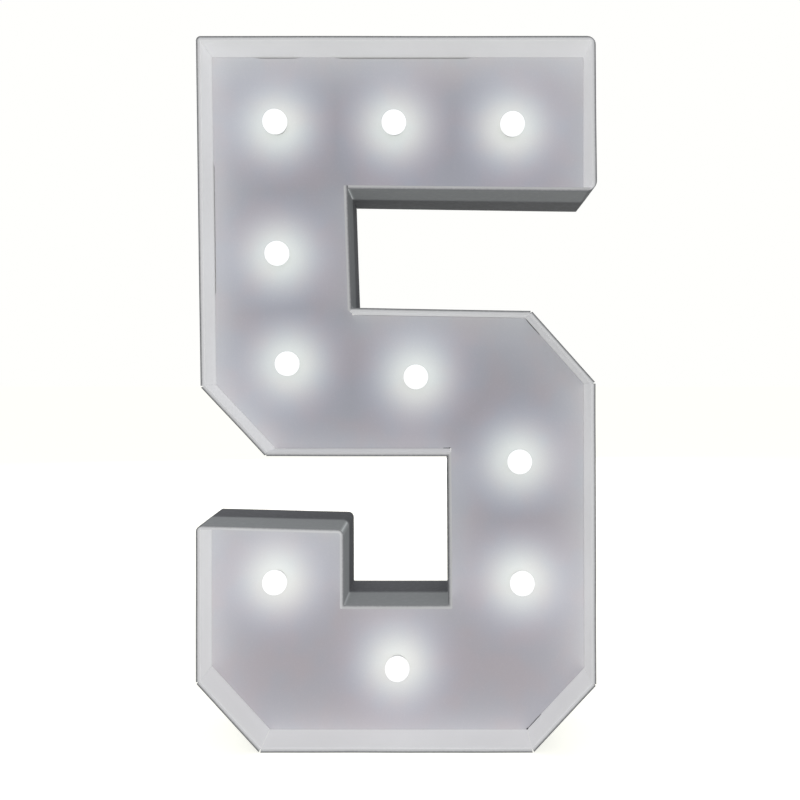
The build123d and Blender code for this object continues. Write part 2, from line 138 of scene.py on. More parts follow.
# %% [markdown]
# ## Colours and nodes
#
# Colours are written as sRGB hex, as a colour picker gives them, and shaders need linear values. One function
# turns one into the other, and one adds a node with its settings and links, so that a material reads as a list.
# Two more make what nearly every real surface has: an uneven tone and a fine relief, of sizes in millimetres.

# %% Material helpers
def linear(code):
    """sRGB hex to linear: a channel c up to 0.04045 is c / 12.92, and above that ((c + 0.055) / 1.055) ** 2.4."""
    c = np.array([int(code[k:k + 2], 16) for k in (1, 3, 5)]) / 255
    return (*np.where(c <= 0.04045, c / 12.92, ((c + 0.055) / 1.055) ** 2.4).tolist(), 1.0)


def empty_tree(owner):
    """The node tree of a material or a world, emptied."""
    owner.use_nodes = True
    owner.node_tree.nodes.clear()
    return owner.node_tree


def new_material(name, sockets):
    """A material with one Principled shader, whose sockets a function of its node tree gives."""
    material = bpy.data.materials.new(name)
    tree = empty_tree(material)
    add(tree, "OutputMaterial", {"Surface": add(tree, "BsdfPrincipled", sockets(tree))})
    return material


def add(tree, kind, inputs=None, **settings):
    """Adds a node. settings are its properties, and inputs gives each socket a value, an output to link, or a node
    whose first output is linked."""
    node = tree.nodes.new("ShaderNode" + kind)
    for name, value in settings.items():
        setattr(node, name, value)
    for name, value in (inputs or {}).items():
        value = value.outputs[0] if isinstance(value, bpy.types.Node) else value
        if isinstance(value, bpy.types.NodeSocket):
            tree.links.new(value, node.inputs[name])
        else:
            node.inputs[name].default_value = value
    return node


def unevenness(tree, size, detail=2.0):
    """Noise with features of a size in millimetres, on Object coordinates."""
    place = add(tree, "TexCoord").outputs["Object"]
    return add(tree, "TexNoise", {"Vector": place, "Scale": 1 / (size * MM), "Detail": detail})


def relief(tree, height, size, strength=0.25):
    """Fine bumps of a height and a size in millimetres."""
    return add(tree, "Bump", {"Height": unevenness(tree, size, 4.0), "Strength": strength, "Distance": height * MM})


# %% [markdown]
# ## Foam board
#
# Foam board is a sheet of polystyrene foam, here 5 mm thick, between two paper skins. Inside the figure its skin
# is coated white paper. Outside, the same white board is drawn grey as painted shade, and each outer face has two
# tones: in front of the panel the lamps shine a little through the board, given off as painted light, behind it
# they hardly do. At folds, where the paper is stretched thin, and at joints a line of light shows, painted into the
# paper's colour as well as given off as light. The cut rim is foam with fine cells, drawn grey along its outer edge
# as painted shade.
#
# Light that enters foam board spreads in it and leaves again all over. Following every such ray would take hours,
# so the board's own glow is worked out instead, as an attribute on the mesh, and the paper gives it off as painted
# light. Other attributes say how far across the rim a point is and how much light leaks near a fold or joint.

# %% Foam-board finishes
PAPER_GRAIN = 0.9      # fibres and their clumps, drawn coarser than the real 0.1 mm so that they show, in mm
FOAM_CELL = 0.5        # the cut foam's cells, in mm
MOTTLE = 60.0          # broad unevenness of a sheet, in mm


def painted_shade_liner(tree):
    """The outer skin: calendered paper drawn grey as painted shade on white board, dull, faintly mottled, painted paler
    at the folds where light leaks, and lit through from inside by painted light.
    """
    fold = add(tree, "Attribute", attribute_name="crease_light").outputs["Fac"]
    glow = add(tree, "Attribute", attribute_name="glow").outputs["Fac"]
    rubbed = add(tree, "MapRange", {0: unevenness(tree, 7, 4.0), 1: 0.45, 2: 0.75, 3: 0.0, 4: 0.5},
                 interpolation_type="SMOOTHSTEP")
    # Painted shade: the outer skin's grey tones stand for the white board in shade, and the pale fold tone is painted
    # light
    tone = linear("#77787c")
    for share, over in ((unevenness(tree, MOTTLE), "#7f8084"), (rubbed, "#88898e"), (fold, "#b4b6ba")):
        tone = add(tree, "Mix", {0: share, 6: tone, 7: linear(over)}, data_type="RGBA").outputs[2]
    more = add(tree, "Math", {0: fold, 1: 3.0, 2: 1.0}, operation="MULTIPLY_ADD")
    return {"Base Color": tone, "Roughness": 0.9, "Specular IOR Level": 0.0, "Emission Color": linear("#f2f8f8"),
            "Emission Strength": add(tree, "Math", {0: glow, 1: more}, operation="MULTIPLY"),
            "Normal": relief(tree, 0.05, PAPER_GRAIN)}


def cut_foam(tree):
    """Polystyrene foam cut with a knife: matt, finely pitted, drawn dark grey at the outer skin as painted shade and
    paler inwards, and given a glow of painted light.
    """
    across = add(tree, "Attribute", attribute_name="across").outputs["Fac"]
    uneven = add(tree, "MapRange", {0: unevenness(tree, 4.0), 1: 0.3, 2: 0.7, 3: -0.3 * MM, 4: 0.3 * MM})
    place = add(tree, "Math", {0: across, 1: uneven}, operation="ADD")
    inwards = add(tree, "MapRange", {0: place, 1: 0.4 * MM, 2: 3.0 * MM})
    cells = add(tree, "Mix", {0: unevenness(tree, FOAM_CELL), 6: linear("#acacae"), 7: linear("#b9b9bc")},
                data_type="RGBA").outputs[2]
    # Painted shade: the cut foam is drawn dark next to the outer skin and pales over 3 mm inwards
    tone = add(tree, "Mix", {0: inwards, 6: linear("#606165"), 7: cells}, data_type="RGBA").outputs[2]
    return {"Base Color": tone, "Roughness": 0.9, "Specular IOR Level": 0.1, "Emission Color": linear("#fbfdff"),
            "Emission Strength": add(tree, "Attribute", attribute_name="glow").outputs["Fac"],
            "Normal": relief(tree, 0.12, FOAM_CELL, 0.4)}


def two_tone(name, size, dark, light, bump=None, glow=None, **values):
    """A material whose colour wanders between two tones, with features of a size in millimetres. bump gives its
    relief, glow the attribute that it gives off as light, and values the other sockets, with _ for spaces."""
    def sockets(tree):
        """What the shader's sockets get."""
        tone = add(tree, "Mix", {0: unevenness(tree, size), 6: linear(dark), 7: linear(light)}, data_type="RGBA")
        inputs = {"Base Color": tone.outputs[2]} | {key.replace("_", " "): value for key, value in values.items()}
        if bump:
            inputs["Normal"] = relief(tree, *bump)
        if glow:
            inputs["Emission Strength"] = add(tree, "Attribute", attribute_name=glow).outputs["Fac"]
        return inputs
    return new_material(name, sockets)


OUTER, EDGE = new_material("painted_shade_liner_paper", painted_shade_liner), new_material("cut_foam_edge", cut_foam)
# White coated paper, smooth, with a slight sheen, and a glow of painted light from the lamps
INNER = two_tone("white_coated_paper", MOTTLE, "#d6d6d8", "#dedee0", (0.03, PAPER_GRAIN), "glow", Roughness=0.55,
                 Specular_IOR_Level=0.3, Emission_Color=linear("#fdfefd"))
# An offcut's two papers and its cut foam edges look alike from a step away: white, matt, finely pitted
OFFCUT = two_tone("offcut_foam_board", 6.0, "#dededf", "#e9e9e9", (0.08, FOAM_CELL), Roughness=0.7,
                  Specular_IOR_Level=0.25)
print("foam board:", ", ".join(material.name for material in (OUTER, EDGE, INNER, OFFCUT)))

# %% [markdown]
# ## The walls
#
# Each wall is one strip of board, 120 mm wide, folded where the outline turns a square corner. A strip could be
# cut from boxes, but folded board has round outsides and tight insides, and its long edges are never quite
# straight. So a strip is a profile, the board's own cross-section with its two skins and the foam sunk slightly
# between them, carried along two lines at once: the outer skin's and the inner skin's. At the eight cut corners
# two strips meet with a vee that is open to the outside.

# %% The outline
BOARD, FRONT, BACK, PANEL = 5.0, -60.0, 60.0, -5.0      # PANEL is where the panel's face lies
VEE, SEAM = 2.6, 0.2                                    # how wide a vee and a closed joint are
# Each corner's name and place, how strongly the run from it to the next one glows at its inner skin, its cut edge and
# its outer skin, and how strongly that run lights the panel
corner_table = [
    ("stem_foot", -250, 466.5, 0.255, 0.31, 0.05, 0.43), ("crown_left", -256, 914, 0.27, 0.3, 0.05, 0.45),
    ("crown_right", 254, 914, 0.23, 0.29, 0.05, 0.37), ("arm_end", 256, 715.5, 0.2, 0.14, 0.095, 0.08),
    ("arm_root", -62, 718.5, 0.2, 0.15, 0.06, 0.25), ("middle_root", -57, 567.5, 0.24, 0.27, 0.05, 0.35),
    ("shoulder_top", 172.5, 563.5, 0.2, 0.28, 0.05, 0.27), ("shoulder_foot", 254, 472, 0.225, 0.31, 0.05, 0.45),
    ("side_foot", 255, 86, 0.235, 0.3, 0.05, 0.09), ("base_right", 175, 0, 0.235, 0.29, 0.08, 0.29),
    ("base_left", -175, 0, 0.23, 0.3, 0.05, 0.13), ("block_foot", -256, 88.5, 0.255, 0.31, 0.05, 0.38),
    ("block_left", -256, 290, 0.2, 0.29, 0.14, 0.48), ("block_right", -67, 285, 0.2, 0.25, 0.11, 0.29),
    ("slot_left", -67, 188.5, 0.2, 0.19, 0.13, 0.29), ("slot_right", 67, 188.5, 0.2, 0.17, 0.05, 0.28),
    ("slot_top", 65.5, 378, 0.16, 0.24, 0.05, 0.26), ("waist_foot", -167.5, 378, 0.26, 0.28, 0.05, 0.43),
]
corner_names = [row[0] for row in corner_table]
corner_values = np.array([row[1:] for row in corner_table])
outline, glows, run_light = corner_values[:, :2], corner_values[:, 2:5], corner_values[:, 5]
way = np.roll(outline, -1, axis=0) - outline
way /= np.linalg.norm(way, axis=1)[:, None]
inward = np.stack([way[:, 1], -way[:, 0]], axis=1)
before = np.roll(inward, 1, axis=0)
cross = (before[:, 0] * inward[:, 1] - before[:, 1] * inward[:, 0])[:, None]
inner_corners = outline + BOARD * np.stack([inward[:, 1] - before[:, 1], before[:, 0] - inward[:, 0]], axis=1) / cross

# Each strip's first and last corner. Strips meet at open vees, but the notch strip laps over the crown strip's end.
strips = {"crown": ("stem_foot", "arm_root"), "notch": ("arm_root", "shoulder_top"),
          "shoulder": ("shoulder_top", "shoulder_foot"), "right_side": ("shoulder_foot", "side_foot"),
          "lower_right": ("side_foot", "base_right"), "base": ("base_right", "base_left"),
          "lower_left": ("base_left", "block_foot"), "block": ("block_foot", "waist_foot"),
          "waist": ("waist_foot", "stem_foot")}
closed_ends = {("crown", -1): "square", ("notch", 1): "long"}
# Each fold's outer radius at the front, its inner radius, and its outer radius at the back. A fold that turns into
# the figure is tight on its outer side.
folds = {"crown_left": (6, 1, 6), "crown_right": (11, 1, 7), "arm_end": (14, 3, 2), "middle_root": (0.8, 3, 0.8),
         "block_left": (8, 1, 3), "block_right": (9, 3, 8), "slot_left": (1.2, 2, 1.2), "slot_right": (1.2, 2, 1.2),
         "slot_top": (1.2, 0.6, 1.2)}
# The walls twist a little: how far the front or the back rim strays at a corner, to the right and up, in mm
front_strays = {"slot_right": (-0.8, 0), "slot_top": (-0.8, 0)}
back_strays = {"arm_end": (-4.5, -1.4), "block_left": (0, 1.2), "block_right": (0.9, 1.8), "slot_left": (0.9, 0)}
# How much light leaks through the stretched paper of a fold or through a joint, and how far to each side, in mm
leaks = {"arm_root": 0.85, "middle_root": 0.5, "block_right": 0.45, "slot_left": 0.25, "arm_end": 0.3}
LEAK_WIDTH = 1.6
print("outline:", len(outline), "corners,", len(strips), "strips")


# %% [markdown]
# The two lines of a strip must have matching points, so both are cut in the same shares: every 10 mm along a
# run, finer near its ends, where the creases are, and eight steps round each fold.

# %% Strip lines
ARC_STEPS = 8


def run_shares(length):
    """Where a run of that length is cut, as shares of it: at 0, 1, 2 and 4 mm from its ends and every 10 mm."""
    close = np.array([0.0, 1.0, 2.0, 4.0])
    middle = np.linspace(8, length - 8, max(2, int(length / 10)))
    return np.concatenate([close, middle, length - close[::-1]]) / length


def folded_line(points, radii, shares):
    """A line with round corners. Between arcs it runs straight. The arc of radius r at a corner that turns by an
    angle starts r tan(angle / 2) before it, and swings about a centre that lies r to the side."""
    ways = np.diff(points, axis=0)
    ways /= np.linalg.norm(ways, axis=1)[:, None]
    parts, begin = [], points[0]
    for k, radius in enumerate(radii, 1):
        come, leave = ways[k - 1], ways[k]
        turn = math.atan2(come[0] * leave[1] - come[1] * leave[0], come @ leave)
        reach = radius * math.tan(abs(turn) / 2)
        start, end = points[k] - come * reach, points[k] + leave * reach
        parts.append(begin + (start - begin) * shares[k - 1][:-1, None])
        side = math.copysign(1, turn) * np.array([-come[1], come[0]])
        angle = np.linspace(0, abs(turn), ARC_STEPS + 1)[:-1, None]
        parts.append(start + radius * (side * (1 - np.cos(angle)) + come * np.sin(angle)))
        begin = end
    parts.append(begin + (points[-1] - begin) * shares[-1][:, None])
    return np.concatenate(parts)


def strip_end(corner, run, kind, sign):
    """Outer and inner point of a strip's end: an open one stops half a vee short, a square one a seam short, and a
    long one laps over."""
    if kind is None:
        return outline[corner] + way[run] * sign * VEE / 2, inner_corners[corner] + way[run] * sign * SEAM / 2
    outer = outline[corner] + way[run] * sign * (-BOARD if kind == "long" else SEAM)
    return outer, outer + inward[run] * BOARD


# %% [markdown]
# The cross-section is a closed loop of (s, y): s counts from the outer skin through the board, y from the front
# rim to the back. Each paper edge is rounded a little, and the foam between the skins sinks by a third to a half
# of a millimetre where it was cut. The loop has many points along y, so that the board can wave.

# %% Board cross-section
SKIN = 0.45            # paper, drawn thicker than the real 0.25 mm so that its edge shows
SINK = 0.35            # how far the cut foam lies below the paper's edges
ROUND = 0.3            # how far a paper edge is rounded
lip = np.array([[0, ROUND], [0.09, 0.09], [ROUND, 0], [SKIN, 0], [SKIN + 0.12, SINK], [1.4, SINK + 0.1],
                [BOARD / 2, SINK + 0.15]])
rim = np.concatenate([lip, np.stack([BOARD - lip[-2::-1, 0], lip[-2::-1, 1]], axis=1)])
depths = FRONT + ROUND + (BACK - FRONT - 2 * ROUND) * np.linspace(0, 1, 25)[1:-1]
front_rim = np.stack([rim[:, 0], FRONT + rim[:, 1]], axis=1)
back_rim = np.stack([rim[::-1, 0], BACK - rim[::-1, 1]], axis=1)
skin_out = np.stack([np.zeros_like(depths), depths[::-1]], axis=1)
skin_in = np.stack([np.full_like(depths, BOARD), depths], axis=1)
section = np.concatenate([skin_out, front_rim, skin_in, back_rim])
section_finish = np.repeat([0, 1, 2, 1, 0], [len(depths), len(rim) - 1, len(depths) + 1, len(rim) - 1, 1])
print("board section:", len(section), "points")


# %% [markdown]
# Board that stands on edge waves by a fraction of a millimetre at its free rims and is held still where the
# panel and the ledges touch it. The wave is a sum of three sines along the strip, always towards the inside.
# Where the photo shows a wall that isn't square to the panel, its corner strays a little at one rim.

# %% Wall strips
rng = np.random.default_rng(5)
WAVE_HEIGHT = 0.4                      # most that a rim leans in, in mm
SHINE_END, SHINE_FADE = PANEL + 9, 8   # where the light through the outer skin ends, and over how many mm it fades
SHINE_BEHIND = 0.1                     # the share of it that is left behind the panel
RIM_DARK, RIM_PALE = 0.3, 3.6          # how far from the outer skin the cut edge's own glow sets in and is full


def smooth_step(value, low, high):
    """3 t^2 - 2 t^3, t being how far the value has come from low to high."""
    t = np.clip((value - low) / (high - low), 0, 1)
    return t * t * (3 - 2 * t)


def wave(along):
    """A slow uneven wave between 0 and 1: three sines of 110 to 420 mm, each with its own start."""
    lengths, starts = rng.uniform(110, 420, 3), rng.uniform(0, 2 * np.pi, 3)
    total = np.sin(2 * np.pi * along[:, None] / lengths + starts).sum(axis=1) / 3
    return 0.5 + 0.5 * total


def wall_lines(marks, corners, ends):
    """A strip's outer and inner line at its front rim, the same two at its back rim, and its runs' shares."""
    outer_points = np.array([ends[0][0], *outline[corners], ends[1][0]])
    inner_points = np.array([ends[0][1], *inner_corners[corners], ends[1][1]])
    front, back = (np.array([strays.get(mark, (0, 0)) for mark in marks]) for strays in (front_strays, back_strays))
    front_radii, inner_radii, back_radii = zip(*[folds[mark] for mark in marks[1:-1]]) if corners else ((), (), ())
    shares = [run_shares(length) for length in np.linalg.norm(np.diff(outer_points, axis=0), axis=1)]
    return [folded_line(points, radii, shares) for points, radii in (
        (outer_points + front, front_radii), (inner_points + front, inner_radii),
        (outer_points + back, back_radii), (inner_points + back, inner_radii))], shares


def wall_light(marks, shares, outer):
    """How strongly each point of the section glows in each row, and how near each row is to a leaking corner:
    leak exp(-(distance / width) ^ 2)."""
    s, y = section.T
    rows = len(outer)
    run_glows = [np.tile(glows[corner_names.index(mark)], (len(share) - 1 + ARC_STEPS, 1))
                 for mark, share in zip(marks, shares)]
    inside, cut, outside = np.concatenate(run_glows)[:rows - 1][[*range(rows - 1), -1]].T[:, :, None]
    edge = outside + (cut - outside) * smooth_step(s, RIM_DARK, RIM_PALE)
    through = outside * np.clip((SHINE_END - y) / SHINE_FADE, SHINE_BEHIND, 1)
    # Painted light: the glow that each point of a wall's section gives off
    glow = np.where(s == 0, through, np.where(y > PANEL + 1, 0, np.where(y < FRONT + 1, edge, inside)))
    # Painted light: how strongly light leaks through a fold or a joint, fading to each side
    crease_light = np.zeros(rows)
    for mark in [mark for mark in marks if mark in leaks]:
        spot = outline[corner_names.index(mark)]
        middle = outer[np.argmin(np.linalg.norm(outer - spot, axis=1))] if mark in folds else spot
        distance = np.linalg.norm(outer - middle, axis=1)
        crease_light = np.maximum(crease_light, leaks[mark] * np.exp(-(distance / LEAK_WIDTH) ** 2))
    return glow, np.outer(crease_light, y < PANEL + 1)


def wall(name, start, end):
    """One strip: point (i, j) is outer_i + (inner_i - outer_i) s_j / board, at depth y_j, pushed in by the wave,
    which grows with y ^ 2 towards both rims. outer_i and inner_i move evenly from the front rim to the back."""
    first, last = corner_names.index(start), corner_names.index(end)
    last += len(outline) if last < first else 0
    corners = [k % len(outline) for k in range(first + 1, last)]
    marks = [start, *[corner_names[k] for k in corners], end]
    ends = (strip_end(first, first, closed_ends.get((name, 1)), 1),
            strip_end(last % len(outline), (last - 1) % len(outline), closed_ends.get((name, -1)), -1))
    (outer, inner, outer_back, inner_back), shares = wall_lines(marks, corners, ends)

    s, y = section.T
    along = np.concatenate([[0], np.cumsum(np.linalg.norm(np.diff(outer, axis=0), axis=1))])
    to_back = ((y - FRONT) / (BACK - FRONT))[None, :, None]
    at_outer = outer[:, None] + (outer_back - outer)[:, None] * to_back
    across = inner[:, None] + (inner_back - inner)[:, None] * to_back - at_outer
    push = across / np.linalg.norm(across, axis=-1)[..., None]
    lean = WAVE_HEIGHT * wave(along)[:, None] * (y / BACK) ** 2
    place = at_outer + across * (s / BOARD)[None, :, None] + push * lean[..., None]
    points = np.stack([place[..., 0], np.broadcast_to(y, place.shape[:2]), place[..., 1]], axis=-1) * MM

    finish = np.concatenate([np.tile(section_finish, len(outer) - 1), [1, 1]])
    piece = grid_piece(f"{name}_board", [points], [OUTER, EDGE, INNER], [f"{name}_strip"], "foam_board", caps=True,
                       face_finish=finish)
    glow, crease_light = wall_light(marks, shares, outer)
    for label, values in (("across", np.tile(s * MM, len(outer))), ("glow", glow), ("crease_light", crease_light)):
        attribute = piece.data.attributes.new(label, "FLOAT", "POINT")
        attribute.data.foreach_set("value", values.ravel().astype(np.float32))


for name, (start, end) in strips.items():
    wall(name, start, end)

# %% [markdown]
# ## Face panel and ledges
#
# The panel is one board with ten holes. Its front paper is drawn a pale grey with a touch of violet, painted shade
# on the same white board as the walls, and it shines with painted light: round each lamp, whose barrel passes light
# into the foam, and beside the walls, which throw light on it. The glow of a lamp falls slowly for the first 30 mm
# and is gone at 90. So the panel is cut into small triangles, each corner of which knows the colour of its glow.
# Where a side was cut short, a dark line shows along the wall. The ledges behind are offcuts of the same board.

# %% Lamp places
lamps = np.array([(-162.82, 207.31), (-0.8, 93.31), (164.52, 206.12), (161.12, 366.82), (23.86, 479.06),
                  (-146.16, 496.5), (-159.72, 642.31), (-162.47, 816.29), (-5.23, 815.5), (151.57, 813.33)])
# The direction in which the string runs at each lamp
string_angles = np.radians([-9.3, -0.2, 59.4, 117.3, 157.1, 138.4, 92.9, 48.3, -0.5, -0.8])
print("lamps:", len(lamps))

# %% Panel outline
SLACK, HOLE = 0.4, 10.0
# Where the panel was cut short: the run's first corner, from and to which share of the run, and by how much
cut_short = [("crown_left", 0.11, 0.23, 1.8), ("crown_left", 0.33, 0.69, 2.2), ("stem_foot", 0.27, 0.67, 1.6)]


def panel_edge():
    """The panel's outline: its corners lie board + slack in from the walls' outside, and points every 3 mm between
    them move further in where it was cut short."""
    corners = outline + (inner_corners - outline) * (BOARD + SLACK) / BOARD
    parts = []
    for k, name in enumerate(corner_names):
        span = corners[(k + 1) % len(corners)] - corners[k]
        share = np.linspace(0, 1, max(3, int(np.linalg.norm(span) / 3)))[:-1]
        short = sum(depth * smooth_step(share, low - 0.01, low + 0.03) * smooth_step(share, high + 0.01, high - 0.01)
                    for first, low, high, depth in cut_short if first == name)
        parts.append(corners[k] + share[:, None] * span + np.outer(short * np.ones(len(share)), inward[k]))
    return np.concatenate(parts)


def run_distances(points):
    """Distance of each point from each run of the walls' inner faces."""
    start, end = inner_corners, np.roll(inner_corners, -1, axis=0)
    span = end - start
    t = np.clip(((points[:, None] - start) * span).sum(axis=-1) / (span ** 2).sum(axis=-1), 0, 1)
    return np.linalg.norm(points[:, None] - start - t[..., None] * span, axis=-1)


def is_inside(points, loop):
    """Even-odd rule: a line to the right of an inside point crosses the loop an odd number of times."""
    x, z = points[:, :1], points[:, 1:]
    (x0, z0), (x1, z1) = loop.T, np.roll(loop, -1, axis=0).T
    rises = np.where(z1 == z0, 1e-9, z1 - z0)
    return (((z0 > z) != (z1 > z)) & (x < (x1 - x0) * (z - z0) / rises + x0)).sum(axis=1) % 2 == 1


# %% Panel glow
FAR = np.array([0.026, 0.03, 0.039])                     # what the panel gives off far from lamps and walls
HALO = np.array([0.429, 0.465, 0.401])                   # how much more it gives off at a lamp: red, green, blue
HALO_REACH, HALO_POWER = np.array([48.0, 48.0, 52.0]), 2.2
FLOOR_LIGHT = np.array([0.072, 0.062, 0.061])            # the white floor's light, near the figure's foot
FLOOR_TOP, FLOOR_FADE = 300.0, 120.0                     # below which height it shows, and over how many mm it grows
LIT_HEIGHT = 40.0                                        # how much of a wall is bright, in mm
WALL_TINT = np.array([0.972, 1.0, 0.95])


def lamp_distance(points):
    """Distance of each point from the nearest lamp."""
    return np.linalg.norm(points[:, None] - lamps, axis=-1).min(axis=1)


def wall_shares(points):
    """The share of a point's view that each run of wall fills. For a wall of height h, square to the panel at a
    distance d, which reaches a to one side and b to the other: (atan(a / d) + atan(b / d)
    - d / e (atan(a / e) + atan(b / e))) / (2 pi), where e is the root of d d + h h."""
    apart = points[:, None] - inner_corners
    d, a = (apart * inward).sum(axis=-1), (apart * way).sum(axis=-1)
    b = np.linalg.norm(np.roll(inner_corners, -1, axis=0) - inner_corners, axis=1) - a
    faces_it, d = d > 0, np.maximum(d, 0.5)
    e = np.hypot(d, LIT_HEIGHT)
    share = np.arctan(a / d) + np.arctan(b / d) - d / e * (np.arctan(a / e) + np.arctan(b / e))
    return np.where(faces_it, share / (2 * np.pi), 0)


def panel_glow(points):
    """Painted light: far + halo exp(-(r / reach) ^ power), r being the distance from the nearest lamp, + each wall's
    light times its share of the view, + a little from the white floor near the figure's foot."""
    halo = HALO * np.exp(-(lamp_distance(points)[:, None] / HALO_REACH) ** HALO_POWER)
    low = np.clip((FLOOR_TOP - points[:, 1:]) / FLOOR_FADE, 0, 1)
    walls = wall_shares(points) @ run_light
    return np.clip(FAR + halo + walls[:, None] * WALL_TINT + low * FLOOR_LIGHT, 0, None)


# %% Panel mesh and finish
GRID_STEP, HOLE_SIDES, RINGS, RING_SIDES = 7.0, 40, (12, 14.5, 18), 36
GRID_START, EDGE_CLEAR, LAMP_CLEAR = 4, 3, 22      # how far the grid keeps from the box, the walls and the lamps


def panel_paper(tree):
    """The panel's front paper: a pale violet grey that is painted shade on white board, faintly mottled and flecked,
    and glowing with painted light.
    """
    tint = add(tree, "MapRange", {0: unevenness(tree, MOTTLE), 1: 0.35, 2: 0.65}, interpolation_type="SMOOTHSTEP")
    # Painted shade: the panel's grey base stands for white board in shade
    face = add(tree, "Mix", {0: tint, 6: linear("#a59fa6"), 7: linear("#a0a0a9")}, data_type="RGBA").outputs[2]
    flecks = add(tree, "MapRange", {0: unevenness(tree, 2.0, 5.0), 1: 0.5, 2: 0.8, 3: 0.0, 4: 0.4},
                 interpolation_type="SMOOTHSTEP")
    flecked = add(tree, "Mix", {0: flecks, 6: face, 7: linear("#aeabb1")}, data_type="RGBA").outputs[2]
    return {"Base Color": flecked, "Roughness": 0.6, "Specular IOR Level": 0.25,
            "Emission Color": add(tree, "Attribute", attribute_name="glow"), "Emission Strength": 1.0,
            "Normal": relief(tree, 0.04, PAPER_GRAIN)}


def ring_of(radius, count):
    """Points on a circle round every lamp."""
    angle = np.arange(count) * 2 * np.pi / count
    return (lamps[:, None] + radius * np.stack([np.cos(angle), np.sin(angle)], axis=-1)).reshape(-1, 2)


def panel_triangles():
    """Points and triangles of one sheet: its edge, its holes, rings round them and a grid between."""
    edge, holes = panel_edge(), ring_of(HOLE, HOLE_SIDES)
    columns, rows = (np.arange(low + GRID_START, high, GRID_STEP)
                     for low, high in zip(outline.min(axis=0), outline.max(axis=0)))
    grid = np.stack(np.meshgrid(columns, rows), axis=-1).reshape(-1, 2)
    free = (run_distances(grid).min(axis=1) > EDGE_CLEAR) & (lamp_distance(grid) > LAMP_CLEAR)
    loose = np.concatenate([ring_of(radius, RING_SIDES) for radius in RINGS] + [grid[is_inside(grid, edge) & free]])
    loops = [np.arange(len(edge))] + [len(edge) + HOLE_SIDES * k + np.arange(HOLE_SIDES) for k in range(len(lamps))]
    borders = np.concatenate([np.stack([loop, np.roll(loop, -1)], axis=1) for loop in loops])
    flat = [Vector(point) for point in np.concatenate([edge, holes, loose])]
    places, _, triangles, _, _, _ = geometry.delaunay_2d_cdt(flat, borders.tolist(), [], 1, 1e-5)
    places, triangles = np.array([tuple(p) for p in places]), np.array(triangles)
    return places, triangles[lamp_distance(places[triangles].mean(axis=1)) > HOLE - 0.2]


def face_panel():
    """Two sheets of the same triangles, joined along every edge that only one triangle of a sheet has."""
    places, triangles = panel_triangles()
    sides = np.concatenate([triangles[:, [0, 1]], triangles[:, [1, 2]], triangles[:, [2, 0]]])
    _, first, uses = np.unique(np.sort(sides, axis=1), axis=0, return_index=True, return_counts=True)
    rims, count = sides[first[uses == 1]], len(places)
    walls = np.stack([rims[:, 0], rims[:, 1], rims[:, 1] + count, rims[:, 0] + count], axis=1)
    faces = triangles.tolist() + (triangles[:, ::-1] + count).tolist() + walls.tolist()
    points = np.concatenate([np.insert(places, 1, PANEL, axis=1), np.insert(places, 1, PANEL + BOARD, axis=1)])
    finish = [0] * len(triangles) + [1] * (len(triangles) + len(walls))
    piece = make_piece("panel_board", points * MM, faces, [new_material("panel_board_paper", panel_paper), OFFCUT],
                       ["face_panel"], "face_board", face_finish=finish)
    colours = np.zeros((2 * count, 4))
    colours[:count, :3] = panel_glow(places)
    glow = piece.data.attributes.new("glow", "FLOAT_COLOR", "POINT")
    glow.data.foreach_set("color", colours.ravel().astype(np.float32))


def dress(node, material):
    """Gives a CAD node a finish and leaves its shape as it is."""
    mesh = nodes[node].data
    mesh.materials.clear()
    mesh.materials.append(material)


face_panel()
for name in strips:
    dress(f"{name}_ledges", OFFCUT)

# %% [markdown]
# ## Ball covers
#
# Each cover is blow-moulded polyethylene, 32 mm across and milky, with a short neck that pushes over the lamp's
# nose. It is a profile turned about the lamp's axis: out from the front pole, down the ball, round the neck's
# end, and back up inside, with a faint band where the mould's halves met. The diode in it makes the whole ball
# glow, less towards the neck, where the lamp's nose shades it.

# %% The turned form
def lathe(profile, turns, flutes=0, flute_depth=0.0):
    """A profile of (radius, height) turned about the lamp's axis. Point (i, j) lies at angle 2 pi j / turns. A third
    number is the share of flute_depth (1 - cos(flutes angle)) / 2 by which the radius dips. Height is towards -Y."""
    radius, height, *dips = np.asarray(profile, float).T
    angle = np.arange(turns) * 2 * np.pi / turns
    dip = dips[0] if dips else np.zeros(len(radius))
    reach = radius[:, None] - dip[:, None] * flute_depth * (1 - np.cos(flutes * angle)) / 2
    return np.stack([reach * np.cos(angle), np.broadcast_to(-height[:, None], reach.shape), reach * np.sin(angle)],
                    axis=-1)


def at_lamp(form, k):
    """A form at lamp k's place on the panel, in metres."""
    return (np.insert(lamps[k], 1, PANEL) + form) * MM


# %% Ball covers
BALL, BALL_HEIGHT, BALL_WALL = 16.0, 18.0, 1.2
NECK_BORE, NECK, NECK_END, MOULD_LINE = 7.6, 10.2, 3.3, 0.12


